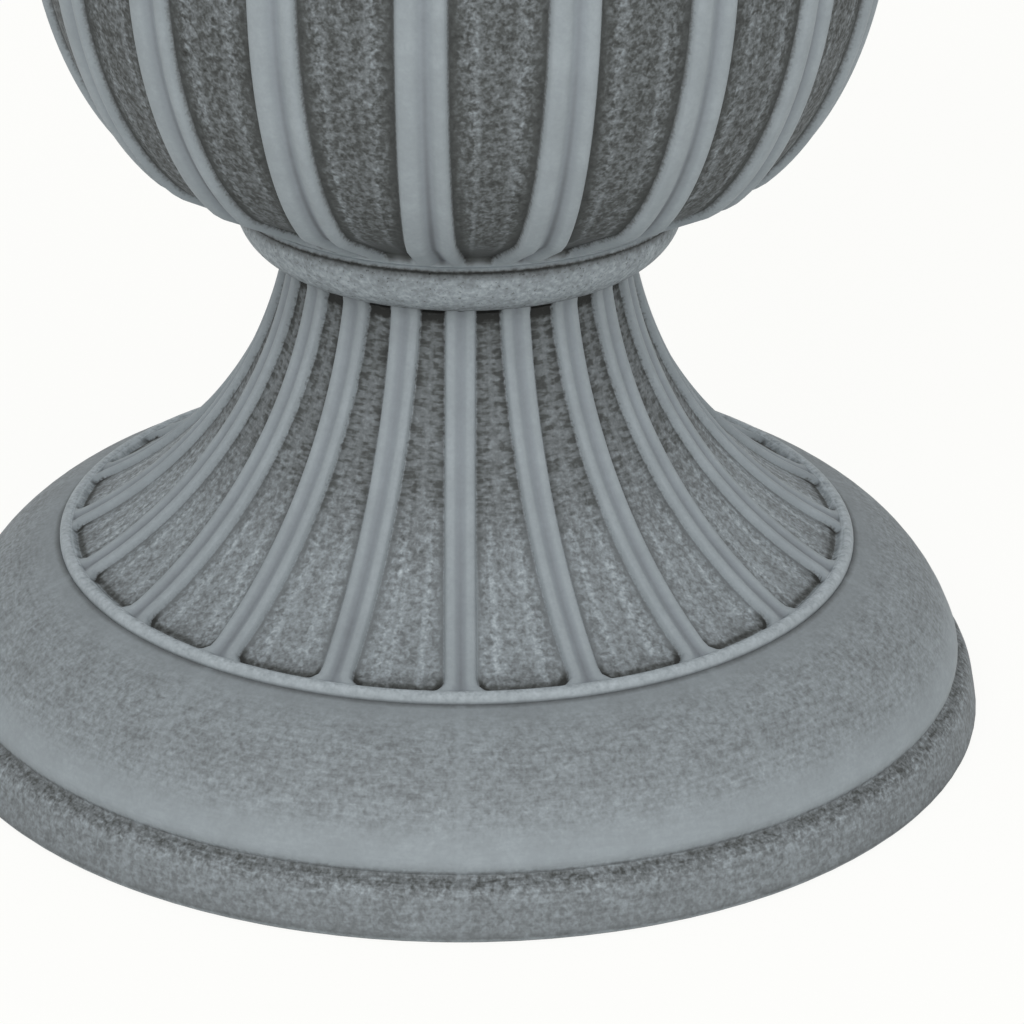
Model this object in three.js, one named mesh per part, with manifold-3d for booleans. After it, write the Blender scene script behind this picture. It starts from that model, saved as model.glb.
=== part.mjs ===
// Urn planter: a fluted bowl on a fluted pedestal, both moulded resin shells, with a trim
// collar between them. Screws through the sunken floor of the bowl hold it on the pedestal,
// and a soft plug closes the drain hole.
// Sizes are in millimetres. The ground is z = 0, the axis is Z and the front faces -Y.

import * as THREE from 'three';
import { mergeVertices } from 'three/addons/utils/BufferGeometryUtils.js';
import Module from 'manifold-3d';

const wasm = await Module();
wasm.setup();

// Fits and walls
const seatGap = 0.3;
const wall = 3.2;

// Pedestal foot: a band with a little taper and a bevelled upper edge, a sloping step in to
// the groove over it, and a rounded shoulder
const footRadius = 158.2;
const footChamfer = 1.8;
const footBandHeight = 12.2;
const footBandTaper = 2;
const footBevelInset = 1.9;
const footBevelRise = 3.2;
const footRimWidth = 6;
const stepInset = 3.4;
const stepRise = 2.4;
const shoulderOverhang = 0.7;
const shoulderRise = 2.5;
const shoulderRound = 7;
const shoulderTurn = THREE.MathUtils.degToRad(25);

// Pedestal slope and the bead ring at its top
const slopeBow = 5;
const beadRadius = 116.6;
const beadHeight = 54.8;
const beadRound = 1.8;
const beadShadowGap = 0.3;

// Pedestal flank, a hollow curve from the bead to the neck
const neckRadius = 51.5;
const flankHollow = 12.5;
const deckHeight = 143;
const deckThickness = 3;
const deckOpeningRadius = 15;

// Ribs of the pedestal: two reeds side by side with a shallow channel between them
const pedestalRibs = {
  count: 20,
  phase: 0,
  width: 9.2,
  edge: 1,
  channelDepth: 0.8,
  recess: 2,
};

// Stiffening webs inside the foot, one under every second rib
const webThickness = 2;
const webInnerRadius = 100;
const webInnerHeight = 40;
const webFootHeight = 3;

// Locating rim on the deck: the collar fits round it and the well of the bowl inside it
const rimInnerRadius = 41.5;
const rimThickness = 3;
const rimHeight = 10;

// Trim collar, an ovolo hollowed from above
const collarHeight = 15.7;
const collarRadius = 65;
const collarFootRadius = 53;
const collarBow = 2.6;
const collarLip = 3;
const collarChamfer = 0.5;
const collarWall = 3.4;
const collarBaseThickness = 4.7;

// Well and foot ring of the bowl
const floorThickness = 4;
const footRingRadius = 66.5;
const footRingHeight = 2.9;
const footRingChamfer = 0.5;
const ledgeThickness = 3.6;
const ledgeSetback = 11.5;

// Belly of the bowl: a quarter of an upright ellipse, then straight up to the belt
const bellyRadius = 123;
const bellyHeight = 258;
const bellyBulge = 59;
const bellyDrop = 95;
const bellyTurn = THREE.MathUtils.degToRad(62);

// Ribs of the bowl
const bowlRibs = {
  count: 19,
  phase: THREE.MathUtils.degToRad(-5.5),
  width: 14.4,
  edge: 1.5,
  channelDepth: 1.8,
  recess: 2.5,
};

// Belt bead over the ribs, flared wall and rolled lip
const beltHeight = 290;
const beltWidth = 13;
const beltRise = 6;
const flareFootRadius = 122.5;
const flareTopRadius = 170;
const flareHollow = 12.3;
const urnHeight = 442;
const lipRadius = 188;
const lipDepth = 22;
const lipRound = 8;
const lipWall = 3.6;
const lipHollowHeight = 11;
const lipInnerRadius = 176.5;
const lipInnerRound = 2.5;

// Screws and sealing washers in the floor of the well
const screwCount = 4;
const screwCircleRadius = 26;
const shankRadius = 2.1;
const shankLength = 20;
const screwPoint = 3;
const headRadius = 4.6;
const headHeight = 2.8;
const headCrown = 1;
const washerRadius = 6.4;
const washerThickness = 1.2;
const floorHoleClearance = 0.6;
const bossWall = 3.2;
const bossLength = 16;
const bossEnd = 1.6;

// Drain plug
const plugStemRadius = 8.6;
const plugTaper = 0.8;
const plugReach = 5;
const plugFlangeRadius = 13;
const plugFlangeThickness = 2.4;
const gripRadius = 4.8;
const gripNeckRadius = 3.2;
const gripHeight = 9;

// Facets
const roundFacets = 40;
const smallFacets = 12;
const roundSteps = 2;
const curveSteps = 4;
const flankSteps = 5;
const bellySteps = 5;

// Heights and radii that follow from the sizes above
const deckUnderside = deckHeight - deckThickness;
const seatHeight = deckHeight + seatGap;
const collarTop = seatHeight + collarHeight;
const bowlUnderside = collarTop + seatGap;
const wellRadius = rimInnerRadius - seatGap;
const wellInnerRadius = wellRadius - wall;
const floorTop = seatHeight + floorThickness;
const ledgeHeight = bowlUnderside + ledgeThickness;
const footRingTop = bowlUnderside + footRingHeight;
const beltTop = beltHeight + beltWidth;
const lipBottom = urnHeight - lipDepth;
const headSeat = floorTop + washerThickness + 2 * seatGap;

const at = (radius, height) => new THREE.Vector2(radius, height);

// Outlines are points of radius and height, listed upwards.
// A positive bow bulges away from the axis and a negative one is hollow.
function bowedLine(start, end, bow, steps) {
  const chord = end.clone().sub(start);
  const half = chord.length() / 2;
  const along = chord.clone().normalize();
  const outward = at(along.y, -along.x);
  const sweep = 2 * Math.atan(bow / half);
  const points = [];
  for (let step = 0; step <= steps; step += 1) {
    const angle = sweep * (2 * step / steps - 1);
    const travel = half * (1 + Math.sin(angle) / Math.sin(sweep));
    const offset = half * (Math.cos(angle) - Math.cos(sweep)) / Math.sin(sweep);
    points.push(start.clone().addScaledVector(along, travel).addScaledVector(outward, offset));
  }
  return points;
}

function ovalArc(centre, across, upward, fromAngle, toAngle, steps) {
  const backwards = toAngle < fromAngle;
  const curve = new THREE.EllipseCurve(centre.x, centre.y, across, upward, fromAngle, toAngle, backwards);
  return curve.getPoints(steps);
}

function outlineNormals(outline) {
  const last = outline.length - 1;
  return outline.map((here, index) => {
    const before = outline[Math.max(index - 1, 0)];
    const after = outline[Math.min(index + 1, last)];
    const tangent = after.clone().sub(before).normalize();
    return at(tangent.y, -tangent.x);
  });
}

function insetOutline(outline, depth) {
  const normals = outlineNormals(outline);
  return outline.map((here, index) => here.clone().addScaledVector(normals[index], -depth));
}

// Turns a closed geometry into a solid that can be joined and cut.
function solidOf(geometry) {
  const bare = geometry.clone();
  bare.deleteAttribute('normal');
  bare.deleteAttribute('uv');
  const merged = mergeVertices(bare);
  const corners = merged.index.array;
  const kept = [];
  for (let first = 0; first < corners.length; first += 3) {
    const [a, b, c] = corners.slice(first, first + 3);
    if (a !== b && b !== c && c !== a) kept.push(a, b, c);
  }
  const mesh = new wasm.Mesh({
    numProp: 3,
    vertProperties: merged.attributes.position.array,
    triVerts: new Uint32Array(kept),
  });
  return new wasm.Manifold(mesh);
}

// A revolved outline about the Z axis, moved sideways to x, y.
function revolvedGeometry(outline, facets) {
  return new THREE.LatheGeometry(outline, facets).rotateX(Math.PI / 2);
}

function revolvedSolid(outline, facets = roundFacets, x = 0, y = 0) {
  return solidOf(revolvedGeometry(outline, facets).translate(x, y, 0));
}

function discSolid(radius, bottom, top, facets, x = 0, y = 0) {
  const outline = [at(0, bottom), at(radius, bottom), at(radius, top), at(0, top)];
  return revolvedSolid(outline, facets, x, y);
}

function ringOutline(innerRadius, outerRadius, bottom, top) {
  return [
    at(innerRadius, bottom),
    at(outerRadius, bottom),
    at(outerRadius, top),
    at(innerRadius, top),
    at(innerRadius, bottom),
  ];
}

// Across one rib: distance from its middle and depth below its crest.
// The last column is the middle of the panel between this rib and the next.
function ribColumns(ribs) {
  const foot = ribs.width / 2;
  const shoulder = foot - ribs.edge;
  return [
    { across: -foot, depth: ribs.recess },
    { across: -shoulder, depth: 0 },
    { across: 0, depth: ribs.channelDepth },
    { across: shoulder, depth: 0 },
    { across: foot, depth: ribs.recess },
    { panel: true, depth: ribs.recess },
  ];
}

// A solid of revolution along the crest outline, with the panels between its ribs sunk in.
// The ribs keep their width as the radius changes. The root ring closes the lower end.
function ribbedSolid(crest, root, ribs) {
  const columns = ribColumns(ribs);
  const pitch = 2 * Math.PI / ribs.count;
  const lower = [at(0, root.y), root];
  const outline = [...lower, ...crest, at(0, crest.at(-1).y)];
  const facets = ribs.count * columns.length;
  const geometry = new THREE.LatheGeometry(outline, facets);
  const position = geometry.attributes.position;
  const normals = outlineNormals(crest);
  for (let facet = 0; facet <= facets; facet += 1) {
    const turn = facet % facets;
    const column = columns[turn % columns.length];
    const ribAngle = ribs.phase + pitch * Math.floor(turn / columns.length);
    for (let row = 1; row < outline.length - 1; row += 1) {
      const normal = normals[row - lower.length];
      const here = outline[row].clone();
      const turnBy = column.panel ? pitch / 2 : column.across / here.x;
      if (normal) here.addScaledVector(normal, -column.depth);
      const angle = ribAngle + turnBy;
      const vertex = facet * outline.length + row;
      position.setXYZ(vertex, here.x * Math.sin(angle), here.y, here.x * Math.cos(angle));
    }
  }
  return solidOf(geometry.rotateX(Math.PI / 2));
}

function screwPlaces() {
  const places = [];
  for (let screw = 0; screw < screwCount; screw += 1) {
    const angle = 2 * Math.PI * (screw + 0.5) / screwCount;
    places.push({
      x: screwCircleRadius * Math.sin(angle),
      y: -screwCircleRadius * Math.cos(angle),
    });
  }
  return places;
}

// Pedestal

const bandTop = at(footRadius - footBandTaper, footBandHeight);
const bevelTop = at(bandTop.x - footBevelInset, bandTop.y + footBevelRise);
const groove = at(bevelTop.x - stepInset, bevelTop.y + stepRise);
const shoulderCentre = at(groove.x + shoulderOverhang - shoulderRound, groove.y + shoulderRise);
const slopeTop = at(beadRadius + beadRound + beadShadowGap, beadHeight - 2 * beadShadowGap);

function slopeOutline() {
  const round = ovalArc(shoulderCentre, shoulderRound, shoulderRound, 0, shoulderTurn, roundSteps);
  const slope = bowedLine(round.at(-1), slopeTop, slopeBow, curveSteps);
  return [...round, ...slope.slice(1)];
}

function flankOutline(steps) {
  const start = at(beadRadius, beadHeight + beadRound / 2);
  const end = at(neckRadius, deckUnderside);
  return bowedLine(start, end, -flankHollow, steps);
}

function footSolid() {
  const bead = ovalArc(at(beadRadius, beadHeight), beadRound, beadRound, 0, Math.PI, curveSteps);
  const beadRoot = beadHeight - beadRound;
  const outline = [
    at(0, 0),
    at(footRadius - footChamfer, 0),
    at(footRadius, footChamfer),
    bandTop,
    bevelTop,
    groove,
    ...slopeOutline(),
    ...bead,
    at(beadRadius - beadRound, beadRoot),
    at(0, beadRoot),
  ];
  return revolvedSolid(outline);
}

function flankSolid() {
  const crest = [...flankOutline(flankSteps), at(neckRadius, deckHeight)];
  const root = at(beadRadius - beadRound / 2, beadHeight - 2 * beadRound);
  return ribbedSolid(crest, root, pedestalRibs);
}

function webPlate(angle) {
  const profile = new THREE.Shape([
    at(footRadius - footRimWidth, webFootHeight),
    at(footRadius - footRimWidth, beadHeight),
    at(webInnerRadius, beadHeight + webInnerHeight / 2),
    at(webInnerRadius, webInnerHeight),
  ]);
  const plate = new THREE.ExtrudeGeometry(profile, { depth: webThickness, bevelEnabled: false });
  plate.translate(0, 0, -webThickness / 2);
  plate.rotateX(Math.PI / 2);
  plate.rotateZ(angle - Math.PI / 2);
  return solidOf(plate);
}

// The core that leaves the hollow inside, slotted where the webs are.
function pedestalCore() {
  const footWall = footRadius - footRimWidth;
  const slope = insetOutline(slopeOutline(), wall).slice(1);
  const flank = insetOutline(flankOutline(curveSteps), pedestalRibs.recess + wall);
  const outline = [
    at(0, -seatGap),
    at(footWall, -seatGap),
    at(footWall, footBandHeight / 2),
    at(groove.x - wall, groove.y - wall),
    ...slope,
    ...flank.filter((here) => here.y < deckUnderside - seatGap),
    at(neckRadius - pedestalRibs.recess - wall, deckUnderside),
    at(0, deckUnderside),
  ];
  let core = revolvedSolid(outline);
  const webCount = pedestalRibs.count / 2;
  for (let web = 0; web < webCount; web += 1) {
    core = core.subtract(webPlate(pedestalRibs.phase + 2 * Math.PI * web / webCount));
  }
  return core;
}

function pedestalSolid() {
  const rimOutline = ringOutline(
    rimInnerRadius,
    rimInnerRadius + rimThickness,
    deckHeight - deckThickness / 2,
    deckHeight + rimHeight,
  );
  const bossBottom = deckUnderside - bossLength;
  const pilotRadius = shankRadius + seatGap;
  let solid = footSolid().add(flankSolid()).subtract(pedestalCore()).add(revolvedSolid(rimOutline));
  for (const { x, y } of screwPlaces()) {
    const boss = discSolid(pilotRadius + bossWall, bossBottom, deckHeight - seatGap, smallFacets, x, y);
    const pilot = discSolid(pilotRadius, bossBottom + bossEnd, deckHeight + seatGap, smallFacets, x, y);
    solid = solid.add(boss).subtract(pilot);
  }
  const opening = discSolid(deckOpeningRadius, deckUnderside - seatGap, deckHeight + seatGap, smallFacets);
  return solid.subtract(opening);
}

// Collar

function collarGeometry() {
  const bore = rimInnerRadius + rimThickness + seatGap;
  const lipStart = at(collarRadius, collarTop - collarLip);
  const hollowBottom = seatHeight + collarBaseThickness;
  const hollowOuter = collarRadius - collarWall;
  const hollowInner = bore + collarWall;
  const outline = [
    at(bore, seatHeight),
    ...bowedLine(at(collarFootRadius, seatHeight), lipStart, collarBow, curveSteps),
    at(collarRadius, collarTop - collarChamfer),
    at(collarRadius - collarChamfer, collarTop),
    at(hollowOuter, collarTop),
    at(hollowOuter, collarTop - collarLip),
    at(collarFootRadius + collarWall, hollowBottom),
    at(hollowInner, hollowBottom),
    at(hollowInner, collarTop),
    at(bore, collarTop),
    at(bore, seatHeight),
  ];
  return revolvedGeometry(outline, roundFacets);
}

// Bowl

function bellyOutline(steps) {
  const start = at(footRingRadius - footRingChamfer, footRingTop - 2 * footRingChamfer);
  const centre = at(bellyRadius - bellyBulge, bellyHeight);
  const oval = ovalArc(centre, bellyBulge, bellyDrop, -bellyTurn, 0, steps);
  return [start, ...oval];
}

function bowlFootSolid() {
  const outline = [
    at(0, seatHeight),
    at(wellRadius - footRingChamfer, seatHeight),
    at(wellRadius, seatHeight + footRingChamfer),
    at(wellRadius, bowlUnderside),
    at(footRingRadius - footRingChamfer, bowlUnderside),
    at(footRingRadius, bowlUnderside + footRingChamfer),
    at(footRingRadius, footRingTop - footRingChamfer),
    at(footRingRadius - footRingChamfer, footRingTop),
    at(0, footRingTop),
  ];
  return revolvedSolid(outline);
}

function bellySolid() {
  const crest = [...bellyOutline(bellySteps), at(bellyRadius, beltHeight + bowlRibs.edge)];
  const root = at(footRingRadius - 2 * wall, bowlUnderside + footRingChamfer);
  return ribbedSolid(crest, root, bowlRibs);
}

function flareOutline() {
  return bowedLine(at(flareFootRadius, beltTop), at(flareTopRadius, lipBottom), -flareHollow, curveSteps);
}

function upperSolid() {
  const belt = ovalArc(
    at(flareFootRadius, beltHeight + beltWidth / 2),
    beltRise,
    beltWidth / 2,
    -Math.PI / 2,
    Math.PI / 2,
    curveSteps,
  );
  const skirtInner = lipRadius - lipWall;
  const roundCentre = at(lipRadius - lipRound, urnHeight - lipRound);
  const outline = [
    at(0, beltHeight),
    ...belt,
    ...flareOutline().slice(1),
    at(skirtInner - lipWall, lipBottom + lipHollowHeight),
    at(skirtInner, lipBottom + lipHollowHeight),
    at(skirtInner, lipBottom),
    at(lipRadius, lipBottom),
    ...ovalArc(roundCentre, lipRound, lipRound, 0, Math.PI / 2, roundSteps),
    at(0, urnHeight),
  ];
  return revolvedSolid(outline);
}

function bowlCore() {
  const belly = insetOutline(bellyOutline(curveSteps), bowlRibs.recess + wall);
  const flare = insetOutline(flareOutline(), wall);
  const mouthRound = at(lipInnerRadius, urnHeight - lipInnerRound);
  const outline = [
    at(0, floorTop),
    at(wellInnerRadius, floorTop),
    at(wellInnerRadius, ledgeHeight),
    at(footRingRadius - ledgeSetback, ledgeHeight),
    ...belly,
    at(belly.at(-1).x, beltHeight),
    ...flare,
    mouthRound,
    at(lipInnerRadius + lipInnerRound, urnHeight),
    at(lipInnerRadius + lipInnerRound, urnHeight + wall),
    at(0, urnHeight + wall),
  ];
  return revolvedSolid(outline);
}

function bowlSolid() {
  const drainRadius = plugStemRadius + seatGap;
  let solid = bowlFootSolid().add(bellySolid()).add(upperSolid()).subtract(bowlCore());
  solid = solid.subtract(discSolid(drainRadius, seatHeight - wall, floorTop + wall, smallFacets));
  for (const { x, y } of screwPlaces()) {
    const holeRadius = shankRadius + floorHoleClearance;
    solid = solid.subtract(discSolid(holeRadius, seatHeight - wall, floorTop + wall, smallFacets, x, y));
  }
  return solid;
}

// Screws, washers and plug, each drawn from its own seat at height 0

function screwGeometry() {
  const outline = [
    at(0, -shankLength - screwPoint),
    at(shankRadius, -shankLength),
    at(shankRadius, 0),
    at(headRadius, 0),
    at(headRadius, headHeight - headCrown),
    at(headRadius - headCrown, headHeight),
    at(0, headHeight),
  ];
  return revolvedGeometry(outline, smallFacets);
}

function washerGeometry() {
  return revolvedGeometry(
    ringOutline(shankRadius + seatGap, washerRadius, 0, washerThickness),
    smallFacets,
  );
}

function plugGeometry() {
  const stemEnd = -seatGap - floorThickness - plugReach;
  const gripTop = plugFlangeThickness + gripHeight;
  const outline = [
    at(0, stemEnd),
    at(plugStemRadius - plugTaper, stemEnd),
    at(plugStemRadius, 0),
    at(plugFlangeRadius, 0),
    at(plugFlangeRadius, plugFlangeThickness / 2),
    at(plugFlangeRadius - plugTaper, plugFlangeThickness),
    at(gripNeckRadius, plugFlangeThickness),
    at(gripNeckRadius, gripTop - gripRadius),
    at(gripRadius, gripTop - gripRadius / 2),
    at(gripNeckRadius, gripTop),
    at(0, gripTop),
  ];
  return revolvedGeometry(outline, smallFacets);
}

// Assembly

function geometryOf(solid) {
  const { vertProperties, triVerts } = solid.getMesh();
  const geometry = new THREE.BufferGeometry();
  geometry.setAttribute('position', new THREE.BufferAttribute(vertProperties, 3));
  geometry.setIndex(new THREE.BufferAttribute(triVerts, 1));
  geometry.computeVertexNormals();
  return geometry;
}

function piece(name, geometry, color, roughness, metalness = 0) {
  const material = new THREE.MeshStandardMaterial({ color, roughness, metalness });
  const mesh = new THREE.Mesh(geometry, material);
  mesh.name = name;
  return mesh;
}

const urn = new THREE.Group();
urn.add(piece('pedestal', geometryOf(pedestalSolid()), 0x818c91, 0.8));
urn.add(piece('neck_collar', collarGeometry(), 0x8a9194, 0.8));
urn.add(piece('bowl', geometryOf(bowlSolid()), 0x757e83, 0.8));

const fixings = new THREE.Group();
screwPlaces().forEach(({ x, y }, index) => {
  const washer = piece(`screw_washer_${index + 1}`, washerGeometry(), 0x1d1d1d, 0.9);
  washer.position.set(x, y, floorTop + seatGap);
  const screw = piece(`bowl_screw_${index + 1}`, screwGeometry(), 0xb8bcc0, 0.35, 1);
  screw.position.set(x, y, headSeat);
  fixings.add(washer, screw);
});
const plug = piece('drain_plug', plugGeometry(), 0x2a2c2e, 0.7);
plug.position.z = floorTop + seatGap;
fixings.add(plug);
urn.add(fixings);

export default urn;
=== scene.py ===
import math

import bpy
import numpy as np
from mathutils import Matrix, Vector


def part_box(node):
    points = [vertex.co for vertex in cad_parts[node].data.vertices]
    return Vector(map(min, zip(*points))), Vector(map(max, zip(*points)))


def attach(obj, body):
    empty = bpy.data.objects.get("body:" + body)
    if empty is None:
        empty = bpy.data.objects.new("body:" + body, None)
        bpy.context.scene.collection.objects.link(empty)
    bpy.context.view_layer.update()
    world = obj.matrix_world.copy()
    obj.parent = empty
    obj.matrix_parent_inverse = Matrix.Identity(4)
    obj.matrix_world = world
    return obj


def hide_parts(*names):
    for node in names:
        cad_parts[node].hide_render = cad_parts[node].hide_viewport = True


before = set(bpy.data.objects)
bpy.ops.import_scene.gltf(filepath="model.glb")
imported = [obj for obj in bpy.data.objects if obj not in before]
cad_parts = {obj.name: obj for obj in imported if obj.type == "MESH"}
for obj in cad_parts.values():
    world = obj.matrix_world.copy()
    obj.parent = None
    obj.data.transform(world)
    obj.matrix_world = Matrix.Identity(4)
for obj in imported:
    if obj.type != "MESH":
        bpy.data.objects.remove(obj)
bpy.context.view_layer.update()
print("frame loaded:", len(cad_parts), "nodes")

mm = 0.001
perMetre = 1000
fullTurn = 2 * math.pi
tiny = 1e-9
samePlace = 0.01  # mm; points of an outline that lie closer are one


def reach(node):  # outer radius, lowest and highest point of a node on the urn's axis, mm
    low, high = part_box(node)
    return high.x / mm, low.z / mm, high.z / mm


def centreOf(node):  # x and y of its middle, lowest and highest point, mm
    low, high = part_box(node)
    return (low.x + high.x) / 2 / mm, (low.y + high.y) / 2 / mm, low.z / mm, high.z / mm


camera = {
    "place": (-12.55, -1120.51, 562.88),  # mm
    "heading": 0.02583,  # radians from +Y towards +X
    "pitch": 0.42349,  # radians down
    "roll": -0.0129,
    "lens": 144.02,
    "sensor": 36,
    "farthest": 50,  # metres in view
}


def makeCamera():
    heading, pitch, roll = camera["heading"], camera["pitch"], camera["roll"]
    forward = Vector((
        math.sin(heading) * math.cos(pitch),
        math.cos(heading) * math.cos(pitch),
        -math.sin(pitch),
    ))
    right = Vector((math.cos(heading), -math.sin(heading), 0))
    down = forward.cross(right)
    rolledRight = math.cos(roll) * right + math.sin(roll) * down
    rolledDown = math.cos(roll) * down - math.sin(roll) * right
    turn = Matrix((rolledRight, -rolledDown, -forward)).transposed()
    data = bpy.data.cameras.new("photoCamera")
    data.lens = camera["lens"]
    data.sensor_width = camera["sensor"]
    data.clip_end = camera["farthest"]
    view = bpy.data.objects.new("photoCamera", data)
    view.matrix_world = Matrix.Translation(Vector(camera["place"]) * mm) @ turn.to_4x4()
    bpy.context.scene.collection.objects.link(view)
    bpy.context.scene.camera = view


makeCamera()
print("camera placed")


# outlines are points of radius and height in mm, with the outside on the right of their run
def bowedLine(start, end, bow, steps):
    start, end = np.array(start, float), np.array(end, float)
    half = np.hypot(*(end - start)) / 2
    along = (end - start) / (2 * half)
    outward = np.array([along[1], -along[0]])
    sweep = 2 * math.atan(bow / half)
    angle = sweep * np.linspace(-1, 1, steps + 1)
    travel = half * (1 + np.sin(angle) / math.sin(sweep))
    offset = half * (np.cos(angle) - math.cos(sweep)) / math.sin(sweep)
    return start + travel[:, None] * along + offset[:, None] * outward


def ovalArc(centre, across, upward, fromDegrees, toDegrees, steps):
    angle = np.radians(np.linspace(fromDegrees, toDegrees, steps + 1))
    x = centre[0] + across * np.cos(angle)
    return np.column_stack([x, centre[1] + upward * np.sin(angle)])


def softCorners(corners, steps=3):  # corners are (radius, height, rounding); the ends stay sharp
    points = [np.array(corners[0][:2], float)]
    for before, (radius, height, rounding), after in zip(corners, corners[1:], corners[2:]):
        here = np.array([radius, height], float)
        back = np.array(before[:2], float) - here
        ahead = np.array(after[:2], float) - here
        if rounding <= 0:
            points.append(here)
            continue
        first = here + back / np.hypot(*back) * rounding
        last = here + ahead / np.hypot(*ahead) * rounding
        for share in np.linspace(0, 1, steps + 1):
            left = 1 - share
            points.append(left ** 2 * first + 2 * share * left * here + share ** 2 * last)
    points.append(np.array(corners[-1][:2], float))
    return np.array(points)


def alongOutline(points):  # distance of each point from the first
    steps = np.hypot(*np.diff(points, axis=0).T)
    return np.concatenate([[0], np.cumsum(steps)])


def resample(points, distances):
    run = alongOutline(points)
    distances = np.clip(distances, 0, run[-1])
    return np.column_stack([np.interp(distances, run, values) for values in points.T])


def outlineNormals(points):
    tangent = np.gradient(points, axis=0)
    tangent /= np.maximum(np.hypot(*tangent.T), tiny)[:, None]
    return np.column_stack([tangent[:, 1], -tangent[:, 0]])


def insetOutline(points, depth):
    return points - outlineNormals(points) * depth


# a strip is a stretch of a section with its relief and paint; a value is a number, or pairs of
# distance along the strip in mm and value, where a distance below zero counts back from the end
stripEnd = math.inf
stripDefaults = {
    "tone": 0.05,  # brightness of the paint, 0 charcoal to 1 palest
    "grain": 0.15,  # strength of the speckle
    "brush": 0,  # share of the grain that runs round the urn
    "dash": 0,  # short dark dashes across the panels
    "streak": 0,  # pale streaks along the flutes
    "ribPaint": 0,  # ribs stand out in pale paint
    "crease": 1,  # how dark the channel along the ribs is
    "cornerShade": 0,  # painted shade in the corners where ribs meet the ring under them
    "sink": 0,  # how far the panels are sunk, as a share of the recess
    "open": 1,  # how far the panels are open, as a share of their width
}
reliefValues = ("sink", "open")
paintValues = [key for key in stripDefaults if key not in reliefValues]


def strip(points, length=None, **looks):
    points = np.array(points, float)
    run = alongOutline(points)
    length = run[-1] if length is None else length
    rows = {"radius": points[:, 0], "height": points[:, 1]}
    for key, standard in stripDefaults.items():
        value = looks.get(key, standard)
        if isinstance(value, list):
            places = [length if at == stripEnd else at + length * (at < 0) for at, _ in value]
            rows[key] = np.interp(run, places, [level for _, level in value])
        else:
            rows[key] = np.full(len(points), float(value))
    return rows


def joinStrips(strips):
    section = {key: np.concatenate([rows[key] for rows in strips]) for key in strips[0]}
    points = np.column_stack([section["radius"], section["height"]])
    gap = np.hypot(*(points - np.roll(points, 1, axis=0)).T)
    keep = gap > samePlace
    return {key: values[keep] for key, values in section.items()}


# half a rib from its middle outward: the channel, then the rounded edge, then the rib's foot
channelAcross = np.array([0, 0.13, 0.27, 0.4, 0.6])  # shares of half the rib
channelShape = np.array([1.0, 0.92, 0.5, 0.1, 0.0])  # how deep the channel is there
edgeAcross = np.array([0.0, 0.5, 0.85])  # shares of the rounded edge
edgeFall = np.array([0.03, 0.28, 0.85, 1.0])  # how far edge and foot fall into the recess
panelShares = np.array([0.05, 0.28, 0.5, 0.72, 0.95])  # places across the panel beside it
widestRib = 0.8  # of the room it has, where the ribs crowd
farOff = 50  # mm; too far from a rib or a web to show its paint
wrapRadius = 100  # mm; grain that runs round the urn is taken from a drum of this size

plainRibs = {  # no relief, for a smooth ring
    "count": 40,
    "phase": 0,
    "width": 2,
    "edge": 0.2,
    "channelDepth": 0,
    "channelShift": 0,
    "recess": 0,
}


def ribSection(ribs):  # places across a rib, how far its sides fall and how deep its channel is
    shoulder = 1 - ribs["edge"] / (ribs["width"] / 2)
    places = np.concatenate([channelAcross, shoulder + (1 - shoulder) * edgeAcross, [1]])
    fall = np.concatenate([0 * channelAcross, edgeFall * ribs["recess"]])
    places = np.concatenate([-places[:0:-1], places])
    fromChannel = np.abs(places - ribs["channelShift"])
    channel = ribs["channelDepth"] * np.interp(fromChannel, channelAcross, channelShape)
    return places, np.concatenate([fall[:0:-1], fall]), channel


def ringPoints(radius, angle, height, x=0, y=0):
    points = [x + radius * np.sin(angle), y - radius * np.cos(angle), height]
    return np.stack(points, axis=-1).reshape(-1, 3)


def gridFaces(rows, columns, closed=True):  # columns run round, and closed rows join up too
    here = np.arange(rows * columns).reshape(rows, columns)
    up = np.roll(here, -1, axis=0)
    if not closed:
        here, up = here[:-1], up[:-1]
    corners = [here, np.roll(here, -1, axis=1), np.roll(up, -1, axis=1), up]
    return np.stack(corners, axis=-1).reshape(-1, 4).tolist()


def storeValues(mesh, name, values, vectors=False):
    attribute = mesh.attributes.new(name, "FLOAT_VECTOR" if vectors else "FLOAT", "POINT")
    flat = np.ascontiguousarray(values, dtype=np.float32).ravel()
    attribute.data.foreach_set("vector" if vectors else "value", flat)


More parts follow.
